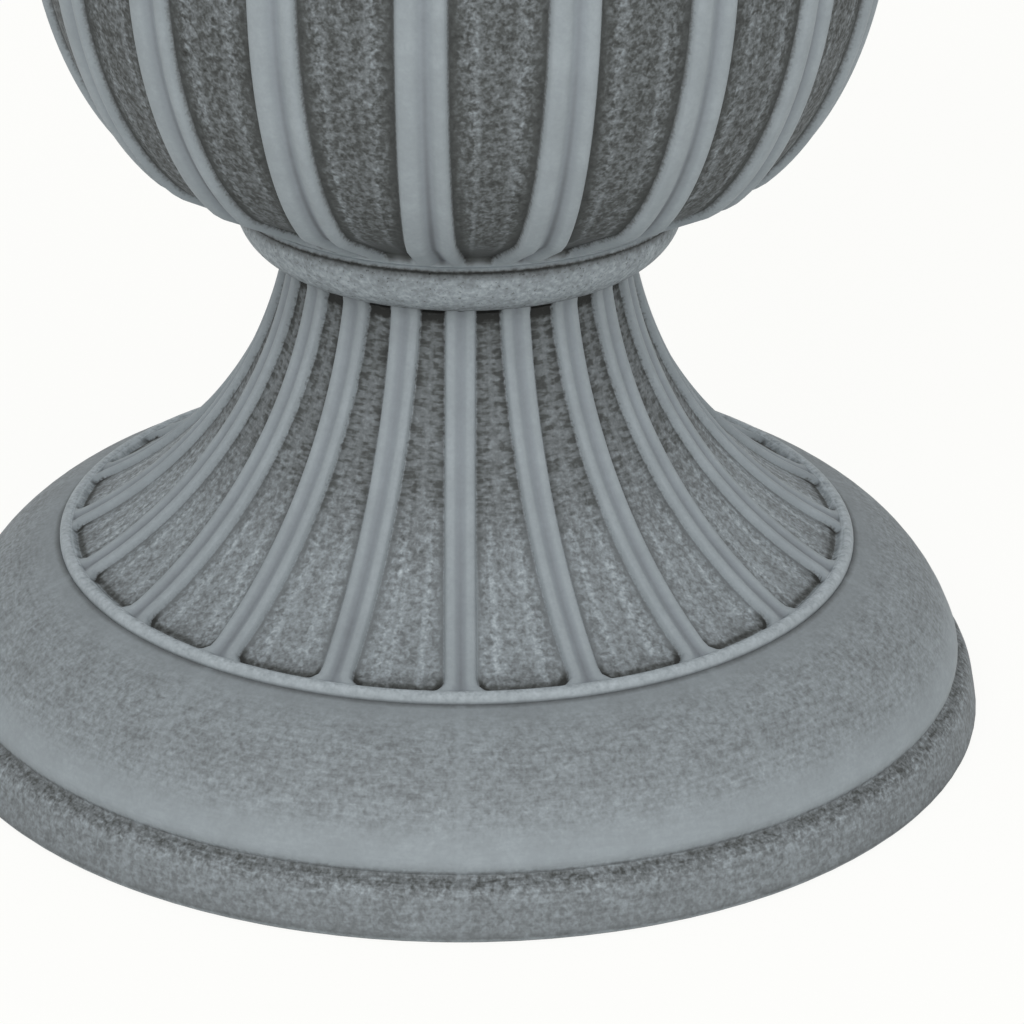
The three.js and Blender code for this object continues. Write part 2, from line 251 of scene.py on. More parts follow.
def shellMesh(name, section, ribs=plainRibs, webCount=0):
    places, fall, channel = ribSection(ribs)
    half = ribs["width"] / 2
    pitch = fullTurn / ribs["count"]
    outline = np.column_stack([section["radius"], section["height"]])
    normals = outlineNormals(outline)
    radius, height = outline[:, :1], outline[:, 1:]
    sink = section["sink"][:, None]

    # columns of one rib and the panel beside it: their turn round the axis and their depth
    room = pitch * radius / 2
    halfHere = np.minimum(half, widestRib * room)
    halfHere = halfHere + (1 - section["open"][:, None]) * (room - halfHere)
    panelStart = halfHere / radius
    panelTurn = panelStart + (pitch - 2 * panelStart) * panelShares
    turn = np.concatenate([halfHere * places / radius, panelTurn], axis=1)
    relief = section["ribPaint"][:, None] * channel + sink * fall
    panelFloor = np.repeat(sink * ribs["recess"], len(panelShares), axis=1)
    depth = np.concatenate([relief, panelFloor], axis=1)

    # what the paint goes by: how far they lie from the panel's edge, its middle and the channel
    fromFoot = np.abs(places)[None, :] * half - half + 0 * radius
    fromRibs = np.minimum(panelTurn - panelStart, pitch - panelStart - panelTurn) * radius
    fromEdge = np.concatenate([fromFoot, fromRibs], axis=1)
    inPanel = np.concatenate([0 * places, 1 - np.abs(2 * panelShares - 1)])
    fromChannel = half * (places - ribs["channelShift"])
    across = np.concatenate([fromChannel, np.full(len(panelShares), half)])

    # the same for every rib round the urn
    starts = [ribs["phase"] + pitch * rib for rib in range(ribs["count"])]
    angle = np.concatenate([start + turn for start in starts], axis=1)
    depth, fromEdge = (np.tile(values, (1, ribs["count"])) for values in (depth, fromEdge))
    points = ringPoints(radius - depth * normals[:, :1], angle, height - depth * normals[:, 1:])
    mesh = bpy.data.meshes.new(name)
    mesh.from_pydata((points * mm).tolist(), [], gridFaces(*angle.shape))
    fromWeb = np.full_like(angle, farOff)
    if webCount:
        webPitch = fullTurn / webCount
        offWeb = (angle - ribs["phase"] + webPitch / 2) % webPitch - webPitch / 2
        fromWeb = np.abs(offWeb) * radius
    run = alongOutline(outline)[:, None] + 0 * angle
    storeValues(mesh, "wrap", ringPoints(wrapRadius, angle, run), vectors=True)
    storeValues(mesh, "fromEdge", fromEdge)
    storeValues(mesh, "inPanel", np.tile(inPanel, ribs["count"]) + 0 * angle)
    storeValues(mesh, "across", np.tile(across, ribs["count"]) + 0 * angle)
    storeValues(mesh, "fromWeb", fromWeb)
    for key in paintValues:
        storeValues(mesh, key, section[key][:, None] + 0 * angle)
    mesh.update()
    return mesh


def place(name, mesh, material, body, slot, nodes, sharpDegrees=50):
    mesh.shade_smooth()
    mesh.set_sharp_from_angle(angle=math.radians(sharpDegrees))
    mesh.materials.append(material)
    piece = bpy.data.objects.new(name, mesh)
    bpy.context.scene.collection.objects.link(piece)
    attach(piece, body)
    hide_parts(*nodes)


def plugIn(tree, socket, value):
    if isinstance(value, bpy.types.NodeSocket):
        tree.links.new(value, socket)
    else:
        socket.default_value = value


def addNode(tree, kind, inputs=None, **settings):
    node = tree.nodes.new("ShaderNode" + kind)
    for key, value in settings.items():
        setattr(node, key, value)
    for key, value in (inputs or {}).items():
        plugIn(tree, node.inputs[key], value)
    return node


def calculate(tree, operation, *values):
    return addNode(tree, "Math", dict(enumerate(values)), operation=operation).outputs[0]


def plus(tree, first, *others):
    for value in others:
        first = calculate(tree, "ADD", first, value)
    return first


def times(tree, first, *others):
    for value in others:
        first = calculate(tree, "MULTIPLY", first, value)
    return first


def smoothStep(tree, value, low, high, atLow=0.0, atHigh=1.0):
    inputs = {"Value": value, "From Min": low, "From Max": high, "To Min": atLow, "To Max": atHigh}
    return addNode(tree, "MapRange", inputs, interpolation_type="SMOOTHSTEP").outputs[0]


def blendValues(tree, share, first, second):
    inputs = {0: share, 2: first, 3: second}
    return addNode(tree, "Mix", inputs, data_type="FLOAT").outputs[0]


def attribute(tree, name, output="Fac"):
    return addNode(tree, "Attribute", attribute_name=name).outputs[output]


def scaled(tree, vector, factors):
    inputs = {0: vector, 1: factors}
    return addNode(tree, "VectorMath", inputs, operation="MULTIPLY").outputs[0]


def placeInMm(tree):
    place = addNode(tree, "TexCoord").outputs["Object"]
    return scaled(tree, place, (perMetre, perMetre, perMetre))


def noise(tree, vector, scale, detail=2.0, roughness=0.5, distortion=0.0):  # about -0.5 to 0.5
    inputs = {
        "Vector": vector,
        "Scale": scale,
        "Detail": detail,
        "Roughness": roughness,
        "Distortion": distortion,
    }
    return calculate(tree, "SUBTRACT", addNode(tree, "TexNoise", inputs).outputs[0], 0.5)


def addBump(tree, shader, height, strength, distance):  # distance in metres
    bump = addNode(tree, "Bump", {"Height": height, "Strength": strength, "Distance": distance})
    plugIn(tree, shader.inputs["Normal"], bump.outputs[0])


def newMaterial(name):
    material = bpy.data.materials.new(name)
    material.use_nodes = True
    tree = material.node_tree
    return material, tree, tree.nodes["Principled BSDF"]


def linear(red, green, blue):  # a colour as seen, 0 to 255, as light
    shares = [value / 255 for value in (red, green, blue)]
    return [((v + 0.055) / 1.055) ** 2.4 if v > 0.04 else v / 12.92 for v in shares] + [1]


def colourRamp(tree, value, stops):
    ramp = addNode(tree, "ValToRGB", {"Fac": value})
    elements = ramp.color_ramp.elements
    while len(elements) < len(stops):
        elements.new(0.5)
    for element, (place, colour) in zip(elements, stops):
        element.position = place
        element.color = linear(*colour)
    return ramp.outputs["Color"]


paintColours = [  # by tone, from bare charcoal resin to the palest brushed paint
    (0.0, (46, 47, 46)),
    (0.25, (76, 79, 79)),
    (0.5, (110, 115, 118)),
    (0.75, (143, 151, 156)),
    (1.0, (178, 187, 193)),
]
# scales are features per mm; of three, two go round the urn and the last up the section
stoneDefaults = {
    "speckleScale": 0.6,
    "speckleDepth": 0.9,
    "finerScale": 2.2,  # times the speckles'
    "mottleScale": 0.09,
    "mottleDepth": 0.14,
    "brushScale": (0.2, 0.2, 0.85),
    "dashScale": (0.17, 0.17, 0.85),
    "dashDepth": 0.2,
    "streakScale": (0.3, 0.3, 0.016),
    "crossScale": (0.07, 0.07, 0.42),
    "streakDepth": 0.12,
    "stripeDepth": 0.13,  # two soft pale stripes down each panel
    "ragged": 0.7,  # mm that the edge of the rib paint strays
    "ribEdge": 0.1,  # mm from the rib's foot to the edge of its paint
    "ribEdgeSoft": 0.5,
    "besideWidth": 2.6,  # of the bare line beside a rib
    "besideDepth": 0.12,
    # width and depth of the painted shade in the corners at the ribs' feet
    "cornerShadeWidth": 2.8,
    "cornerShadeDepth": 0.4,
    "ribWidth": 9.2,
    "ribTone": 0.76,
    "ribSpeckle": 0.07,
    "channelInner": 0.04,  # of the rib's width, where its channel is deepest
    "channelOuter": 0.24,
    "channelFade": 0.1,
    "channelTint": (122, 129, 142),
    "channelTintShare": 0.2,
    "lineWidth": 0.08,  # of the rib's width: a narrow dark line along the channel's bottom
    "lineFade": 0.04,
    "sinkLine": 0.0,
    "sinkWidth": 2.2,
    "sinkTone": 0.75,
    "freckleScale": 1.2,
    "freckleDepth": 0.0,
    "roughness": (0.82, 0.62),  # of bare resin and of the palest paint
    "specular": 0.3,
    "bump": 0.35,
    "bumpDistance": 0.0004,
}


def brushedStone(name, changes):
    look = {**stoneDefaults, **changes}
    material, tree, shader = newMaterial(name)
    position = placeInMm(tree)
    wrap = attribute(tree, "wrap", "Vector")
    grain, brush = attribute(tree, "grain"), attribute(tree, "brush")

    # a sand-like speckle, brushed round the urn where the section says so
    speckle = noise(tree, position, look["speckleScale"], 1.3, 0.5, 0.4)
    finer = noise(tree, position, look["speckleScale"] * look["finerScale"], 1.0)
    speckles = plus(tree, times(tree, speckle, 1.1), times(tree, finer, 0.55))
    mottle = times(tree, noise(tree, position, look["mottleScale"], 3.0), look["mottleDepth"])
    around = noise(tree, scaled(tree, wrap, look["brushScale"]), 1.0, 2.5, 0.6)
    brushed = plus(tree, around, times(tree, speckles, 0.6))
    grains = blendValues(tree, brush, speckles, brushed)
    grains = times(tree, grains, grain, look["speckleDepth"])
    tone = plus(tree, attribute(tree, "tone"), mottle, grains)

    # dark dashes across the upper panels
    inPanel = attribute(tree, "inPanel")
    dashes = noise(tree, scaled(tree, wrap, look["dashScale"]), 1.0, 1.0)
    dashes = smoothStep(tree, dashes, -0.12, 0.16)
    offMiddle = smoothStep(tree, inPanel, 0.7, 0.95, 1.0, 0.3)
    dash = times(tree, dashes, attribute(tree, "dash"), offMiddle, -look["dashDepth"])

    # pale streaks, soft stripes and a few pale cross marks on the lower ones
    streaks = attribute(tree, "streak")
    upward = noise(tree, scaled(tree, wrap, look["streakScale"]), 1.0, 0.5)
    crosswise = noise(tree, scaled(tree, wrap, look["crossScale"]), 1.0, 0.5)
    crossMarks = smoothStep(tree, crosswise, 0.2, 0.28)
    pale = plus(tree, smoothStep(tree, upward, 0.09, 0.2), crossMarks)
    patchy = plus(tree, times(tree, speckles, 1.4), 0.75)
    streak = times(tree, pale, patchy, streaks, look["streakDepth"])
    wavy = plus(tree, inPanel, times(tree, speckles, 0.14), times(tree, upward, 0.4))
    innerSide = smoothStep(tree, wavy, 0.56, 0.7, 1.0, 0.0)
    stripe = times(tree, smoothStep(tree, wavy, 0.36, 0.48), innerSide)
    softer = plus(tree, times(tree, speckles, 0.6), 0.9)
    stripe = times(tree, stripe, softer, streaks, look["stripeDepth"])
    tone = plus(tree, tone, dash, streak, stripe)

    # bare and dark beside the ribs, and painted shade in the corners at their feet
    ribPaint = attribute(tree, "ribPaint")
    fromEdge = attribute(tree, "fromEdge")
    strayed = plus(tree, fromEdge, times(tree, speckle, look["ragged"] * 2))
    beside = smoothStep(tree, strayed, 0.3, look["besideWidth"], 1.0, 0.0)
    beside = times(tree, beside, ribPaint)
    bare = plus(tree, times(tree, speckles, -0.5), -look["besideDepth"])
    paintedCornerShade = smoothStep(tree, strayed, 0.6, look["cornerShadeWidth"], 1.0, 0.0)
    paintedCornerShade = times(tree, paintedCornerShade, attribute(tree, "cornerShade"), -look["cornerShadeDepth"])
    tone = plus(tree, tone, times(tree, beside, bare), paintedCornerShade)

    # thick paint on the ribs, thinner down their channel
    fromMiddle = calculate(tree, "ABSOLUTE", attribute(tree, "across"))
    width, edge, soft = look["ribWidth"], look["ribEdge"], look["ribEdgeSoft"]
    inner, outer = width * look["channelInner"], width * look["channelOuter"]
    channel = smoothStep(tree, fromMiddle, inner, outer, 1.0, 0.0)
    line = smoothStep(tree, fromMiddle, 0.0, width * look["lineWidth"], look["lineFade"], 0.0)
    fade = plus(tree, times(tree, channel, look["channelFade"]), line)
    crease = times(tree, fade, attribute(tree, "crease"), -1.0)
    ribSpeckle = times(tree, speckles, look["ribSpeckle"])
    ribTone = plus(tree, crease, mottle, ribSpeckle, look["ribTone"])
    fineStray = times(tree, finer, look["ragged"])
    wideStray = times(tree, speckle, look["ragged"])
    ragged = plus(tree, fromEdge, fineStray, wideStray)
    onRib = smoothStep(tree, ragged, edge - soft, edge + soft, 1.0, 0.0)
    onRib = times(tree, onRib, ribPaint)
    tone = blendValues(tree, onRib, tone, ribTone)

    # pale sink lines over the webs inside the foot, and fine dark freckles
    fromWeb = plus(tree, attribute(tree, "fromWeb"), times(tree, finer, 1.4))
    overWeb = smoothStep(tree, fromWeb, 0.6, look["sinkWidth"], look["sinkLine"], 0.0)
    overWeb = times(tree, overWeb, brush)
    sinkTone = plus(tree, times(tree, speckles, 0.12), look["sinkTone"])
    tone = blendValues(tree, overWeb, tone, sinkTone)
    freckle = smoothStep(tree, noise(tree, position, look["freckleScale"], 1.0), 0.14, 0.24)
    tone = plus(tree, tone, times(tree, freckle, -look["freckleDepth"]))

    painted = colourRamp(tree, tone, paintColours)
    inChannel = times(tree, channel, onRib, look["channelTintShare"])
    colours = {0: inChannel, 6: painted, 7: linear(*look["channelTint"])}
    tinted = addNode(tree, "Mix", colours, data_type="RGBA").outputs[2]
    plugIn(tree, shader.inputs["Base Color"], tinted)
    roughness = smoothStep(tree, tone, 0.0, 1.0, *look["roughness"])
    plugIn(tree, shader.inputs["Roughness"], roughness)
    shader.inputs["Specular IOR Level"].default_value = look["specular"]
    relief = times(tree, speckles, grain, calculate(tree, "SUBTRACT", 1.0, onRib))
    addBump(tree, shader, relief, look["bump"], look["bumpDistance"])
    return material


footRadius, _, rimTop = reach("pedestal")

pedestal = {
    "rimWidth": 6,
    "chamfer": 1.8,
    "bandFootInset": 0.3,
    "bandFootHeight": 3.6,
    "bandHeight": 12.2,
    "bandTaper": 2,
    "bandRound": 2.4,
    "bevelInset": 1.9,
    "bevelRise": 3.2,
    "bevelRound": 1.2,
    "stepInset": 3.4,
    "stepRise": 2.4,
    "stepRound": 0.5,
    "shoulderOverhang": 0.7,
    "shoulderRise": 2.5,
    "shoulderRound": 7,
    "shoulderStart": -14,  # degrees
    "shoulderTurn": 25,
    "slopeBow": 5,
    "slopeGap": 0.3,  # from the bead to the slope's top
    "slopeDrop": 0.6,
    "beadRadius": 116.6,
    "beadHeight": 53.8,
    "beadRound": 2.2,
    "beadStart": -20,  # degrees
    "beadTurn": 118,
    "neckRadius": 51.5,
    "flankHollow": 12.5,
    "flankTop": 140,
    "deckHeight": 143,
    "deckThickness": 3,
    "deckOpening": 15,
    "rimInner": 41.5,
    "rimThickness": 3,
    "wall": 3.2,
    "webThickness": 2,
    "webInnerRadius": 100,
    "webInnerHeight": 40,
    "webInnerTop": 61.5,
    "webFootHeight": 3,
    "webTop": [(148.6, 15), (148, 22), (139, 34), (128, 44), (117, 52), (109, 56)],
    "bossRadius": 5.6,
    "bossLength": 16,
    "sunk": 1.2,  # how far webs and bosses run into the wall
    "ribs": {
        "count": 20,
        "phase": 0,
        "width": 9.2,
        "edge": 1,
        "channelDepth": 0.8,
        "channelShift": 0,
        "recess": 2,
    },
    "paint": {"sinkLine": 0.55},
    "foot": {
        "tone": [
            (0, 0.05), (4, 0.1), (5, 0.62), (6.2, 0.7), (7.2, 0.44), (8.4, 0.52), (9.2, 0.55),
        ],
        "grain": 0.4,
        "brush": 0.5,
    },
    "band": {
        "tone": [
            (0, 0.53), (3, 0.56), (9, 0.57), (11, 0.56),
            (12.6, 0.49), (14, 0.42), (15.6, 0.4), (17, 0.54),
        ],
        "grain": [(0, 0.5), (9, 0.65), (12, 1.1), (16, 1.1), (17, 0.5)],
        "brush": [(0, 0.4), (12, 0.5), (17, 0.6)],
    },
    "shoulder": {
        "tone": [(0, 0.6), (0.8, 0.7), (2.5, 0.75), (6, 0.75)],
        "grain": [(0, 0.5), (1.5, 0.12), (6, 0.1)],
        "brush": 0.8,
    },
    "slope": {
        # the last rows, just under the bead, are a painted shadow line
        "tone": [
            (0, 0.75), (4, 0.73), (9, 0.67), (18, 0.61), (34, 0.63),
            (41, 0.65), (43.6, 0.64), (44.8, 0.44), (47, 0.42),
        ],
        "grain": [(0, 0.1), (5, 0.2), (11, 0.55), (30, 0.6), (37, 0.4), (42, 0.15)],
        "brush": 0.6,
    },
    "bead": {
        # the bead's lower side starts darker, as part of the painted shadow line under it
        "tone": [(0, 0.5), (1.0, 0.8), (4, 0.88), (5, 0.9)],
        "grain": [(0, 0.1), (2, 0.25), (4, 0.45), (6, 0.7)],
    },
    "flank": {
        # panel tone up the flank: a painted shade line where the panels leave the bead, darker
        # upward, then painted shade under the collar in the last rows
        "tone": [
            (0, 0.95), (1.1, 0.6), (1.5, 0.12), (2.4, 0.16), (3.3, 0.47), (8, 0.6), (32, 0.61),
            (50, 0.55), (70, 0.5), (90, 0.47), (-2, 0.43), (-1.1, 0.08), (stripEnd, 0.0),
        ],
        "grain": [(0, 0.3), (1, 0.65), (45, 0.7), (70, 0.45), (stripEnd, 0.4)],
        "dash": [(0, 0), (40, 0.15), (60, 1.1), (stripEnd, 1.3)],
        "streak": [(0, 0.6), (10, 1), (40, 1), (62, 0)],
        "ribPaint": [(0, 0.0), (0.5, 1)],
        "crease": [(0, 1.7), (30, 1.3), (70, 0.8)],
        # painted shade in the corners where the panels meet the bead
        "cornerShade": [(0, 0), (1, 1), (3.2, 1), (6.5, 0)],
        "sink": [(0, 0), (0.2, 0.02), (0.9, 0.97), (1.2, 1)],
        "open": [(0, 0.74), (0.8, 0.8), (2.6, 0.96), (5, 1)],
    },
    # the neck inside the collar, dark as painted shade under it
    "flankEnd": {"sink": 1, "ribPaint": 1, "tone": 0.02, "grain": 0.3},
}


def pedestalSection():
    p = pedestal
    wallRadius = footRadius - p["rimWidth"]
    innerDepth = p["ribs"]["recess"] + p["wall"]
    underDeck = p["deckHeight"] - p["deckThickness"]
    rimOuter = p["rimInner"] + p["rimThickness"]

    bandFoot = (footRadius - p["bandFootInset"], p["bandFootHeight"])
    bandTop = (footRadius - p["bandTaper"], p["bandHeight"])
    bevelTop = (bandTop[0] - p["bevelInset"], bandTop[1] + p["bevelRise"])
    groove = (bevelTop[0] - p["stepInset"], bevelTop[1] + p["stepRise"])
    turning = p["shoulderRound"]
    centre = (groove[0] + p["shoulderOverhang"] - turning, groove[1] + p["shoulderRise"])
    shoulder = ovalArc(centre, turning, turning, p["shoulderStart"], p["shoulderTurn"], 7)
    band = softCorners([
        (*bandFoot, 0),
        (*bandTop, p["bandRound"]),
        (*bevelTop, p["bevelRound"]),
        (*groove, p["stepRound"]),
        (*shoulder[0], 0),
    ], 4)
    band = resample(band, np.linspace(0, alongOutline(band)[-1], 26))

    beadCentre = (p["beadRadius"], p["beadHeight"])
    beadRound = p["beadRound"]
    slopeTop = (beadCentre[0] + beadRound + p["slopeGap"], beadCentre[1] - p["slopeDrop"])
    slope = bowedLine(shoulder[-1], slopeTop, p["slopeBow"], 28)
    bead = ovalArc(beadCentre, beadRound, beadRound, p["beadStart"], p["beadTurn"], 10)
    crestFoot = (beadCentre[0], beadCentre[1] + beadRound / 2)
    crest = bowedLine(crestFoot, (p["neckRadius"], p["flankTop"]), -p["flankHollow"], 80)
    crest = crest[crest[:, 0] < bead[-1][0] - 0.2]  # the bead covers the rest
    top = alongOutline(crest)[-1]
    near = [0, 0.25, 0.5, 0.75, 1.0, 1.4, 1.9, 2.6, 3.6, 5]  # close rows where the panels begin
    rows = [near, np.linspace(7, top - 6, 40), np.linspace(top - 5, top, 6)]
    flank = resample(crest, np.concatenate(rows))

    innerSlope = insetOutline(slope, p["wall"])[::3]
    innerFlank = insetOutline(resample(crest, np.linspace(4, top - 1, 20)), innerDepth)
    innerFlank = innerFlank[innerFlank[:, 1] < underDeck - 1]
    inside = np.concatenate([
        [(p["neckRadius"] - innerDepth, underDeck)],
        innerFlank[::-1],
        innerSlope[::-1],
        [(groove[0] - p["wall"], groove[1] - p["wall"]), (wallRadius, p["bandHeight"] / 2)],
    ])
    return joinStrips([
        strip(softCorners([
            (wallRadius, 0.4, 0),
            (wallRadius, 0, 0.3),
            (footRadius - p["chamfer"], 0, 0.7),
            (footRadius, p["chamfer"], 1.0),
            (*bandFoot, 0),
        ], 4), **p["foot"]),
        strip(band, **p["band"]),
        strip(shoulder, **p["shoulder"]),
        strip(slope, **p["slope"]),
        strip(bead, **p["bead"]),
        strip(flank, length=top, **p["flank"]),
        strip([
            (p["neckRadius"], p["flankTop"] + 0.4),
            (p["neckRadius"], p["deckHeight"] - 0.2),
        ], **p["flankEnd"]),
        strip(softCorners([
            (p["neckRadius"] - 3.4, p["deckHeight"], 0),
            (rimOuter, p["deckHeight"], 0.4),
            (rimOuter, rimTop, 0.8),
            (p["rimInner"], rimTop, 0.8),
            (p["rimInner"], p["deckHeight"], 0.4),
            (p["deckOpening"], p["deckHeight"], 0.4),
            (p["deckOpening"], underDeck, 0.4),
            (p["deckOpening"] + 4, underDeck, 0),
        ])),
        strip(inside),
    ])


def webPlate(corners, thickness, angle):  # an upright plate through the axis, from its outline
    outline = np.array(corners, float)
    count = len(outline)
    radial = np.array([math.sin(angle), -math.cos(angle), 0])
    side = np.array([math.cos(angle), math.sin(angle), 0])
    flat = outline[:, :1] * radial + outline[:, 1:] * np.array([0, 0, 1.0])
    points = np.concatenate([flat - side * thickness / 2, flat + side * thickness / 2]) * mm
    faces = [list(range(count))[::-1], [count + i for i in range(count)]]
    faces += [[i, (i + 1) % count, count + (i + 1) % count, count + i] for i in range(count)]
    return points, faces


def bossDrum(x, y, radius, bottom, top, sides=32, rounding=0.5):
    angle = np.linspace(0, fullTurn, sides, endpoint=False)
    rings = [(radius - rounding, bottom), (radius, bottom + rounding), (radius, top)]
    points = [(x + r * math.cos(a), y + r * math.sin(a), z) for r, z in rings for a in angle]
    faces = [list(range(sides))[::-1], [2 * sides + i for i in range(sides)]]
    return np.array(points) * mm, faces + gridFaces(len(rings), sides, closed=False)


insideFinish = {
    "tone": stripDefaults["tone"],
    "grain": stripDefaults["grain"],
    "fromEdge": farOff,
    "fromWeb": farOff,
}


def addParts(mesh, parts):  # joins closed bodies, in the plain inside finish, into a shell's mesh
    count = len(mesh.vertices)
    base = np.zeros(count * 3)
    mesh.vertices.foreach_get("co", base)
    points = [base.reshape(-1, 3)]
    faces = [list(polygon.vertices) for polygon in mesh.polygons]
    values = {}
    for stored in mesh.attributes:
        if stored.domain != "POINT" or stored.name == "position":
            continue
        vectors = stored.data_type == "FLOAT_VECTOR"
        buffer = np.zeros(count * (3 if vectors else 1), np.float32)
        stored.data.foreach_get("vector" if vectors else "value", buffer)
        values[stored.name] = (vectors, [buffer.reshape(count, -1)])
    for partPoints, partFaces in parts:
        faces += [[count + i for i in face] for face in partFaces]
        count += len(partPoints)
        points.append(partPoints)
        for name, (vectors, chunks) in values.items():
            plain = np.full((len(partPoints), 1), insideFinish.get(name, 0))
            chunks.append(partPoints / mm if vectors else plain)
    joined = bpy.data.meshes.new(mesh.name + "Joined")
    joined.from_pydata(np.concatenate(points).tolist(), [], faces)
    for name, (vectors, chunks) in values.items():
        storeValues(joined, name, np.concatenate(chunks), vectors)
    bpy.data.meshes.remove(mesh)
    return joined


def makePedestal():
    p = pedestal
    webCount = p["ribs"]["count"] // 2
    mesh = shellMesh("pedestalShell", pedestalSection(), p["ribs"], webCount)
    wallRadius = footRadius - p["rimWidth"] + p["sunk"]
    webOutline = [
        (wallRadius, p["webFootHeight"]),
        (wallRadius, p["bandHeight"] / 2),
        *p["webTop"],
        (p["webInnerRadius"], p["webInnerTop"]),
        (p["webInnerRadius"], p["webInnerHeight"]),
    ]
    inside = []
    for web in range(webCount):
        angle = p["ribs"]["phase"] + fullTurn * web / webCount
        inside.append(webPlate(webOutline, p["webThickness"], angle))
    bossTop = p["deckHeight"] - p["deckThickness"]
    bossBottom = bossTop - p["bossLength"]
    for index in range(1, 5):
        x, y, _, _ = centreOf(f"bowl_screw_{index}")
        inside.append(bossDrum(x, y, p["bossRadius"], bossBottom, bossTop + p["sunk"]))
    paint = brushedStone("pedestalPaint", p["paint"])
    shell = addParts(mesh, inside)
    place("pedestalShell", shell, paint, "urn", "stone_finish_resin", ["pedestal"])


makePedestal()
print("pedestal made")

collarRadius, collarBottom, collarTop = reach("neck_collar")

collar = {
    "footRadius": 53,
    "bow": 2.6,
    "lip": 3,
    "wall": 3.4,
    "baseThickness": 4.7,
    "bore": 44.8,
    "paint": {"speckleScale": 0.55, "speckleDepth": 0.5, "mottleDepth": 0.3, "freckleDepth": 0.26},
    "face": {
        # darker towards the bottom edge: painted shade under the collar's bulge
        "tone": [(0, 0.12), (1.6, 0.32), (4, 0.52), (8, 0.7), (13, 0.78), (19, 0.75)],
        "grain": 1.0,
        "brush": 0.2,
    },
    "top": {
        "tone": [(0, 0.76), (1.2, 0.78), (2.2, 0.3), (4, 0.05), (8, 0.05)],
        "grain": [(0, 1.0), (3, 0.6)],
        "brush": 0.2,
    },
}


def makeCollar():
    c = collar
    lipBottom = collarTop - c["lip"]
    baseTop = collarBottom + c["baseThickness"]
    sleeve = c["bore"] + c["wall"]
    face = bowedLine((c["footRadius"], collarBottom), (collarRadius, lipBottom), c["bow"], 18)
    section = joinStrips([
        strip(face, **c["face"]),
        strip(softCorners([
            (collarRadius, lipBottom + 0.3, 0),
            (collarRadius, collarTop, 0.9),
            (collarRadius - c["wall"], collarTop, 0.5),
            (collarRadius - c["wall"], lipBottom, 0),
        ], 5), **c["top"]),
        strip(softCorners([
            (c["footRadius"] + c["wall"], baseTop, 0),
            (sleeve, baseTop, 0.5),
            (sleeve, collarTop, 0.5),
            (c["bore"], collarTop, 0.5),
            (c["bore"], collarBottom, 0.5),
            (c["footRadius"] - 0.5, collarBottom, 0),
        ])),
    ])
    paint = brushedStone("collarPaint", c["paint"])
    ring = shellMesh("neckCollar", section)
    place("neckCollar", ring, paint, "urn", "stone_finish_resin", ["neck_collar"])


makeCollar()
print("collar made")

lipRadius, seatHeight, urnHeight = reach("bowl")

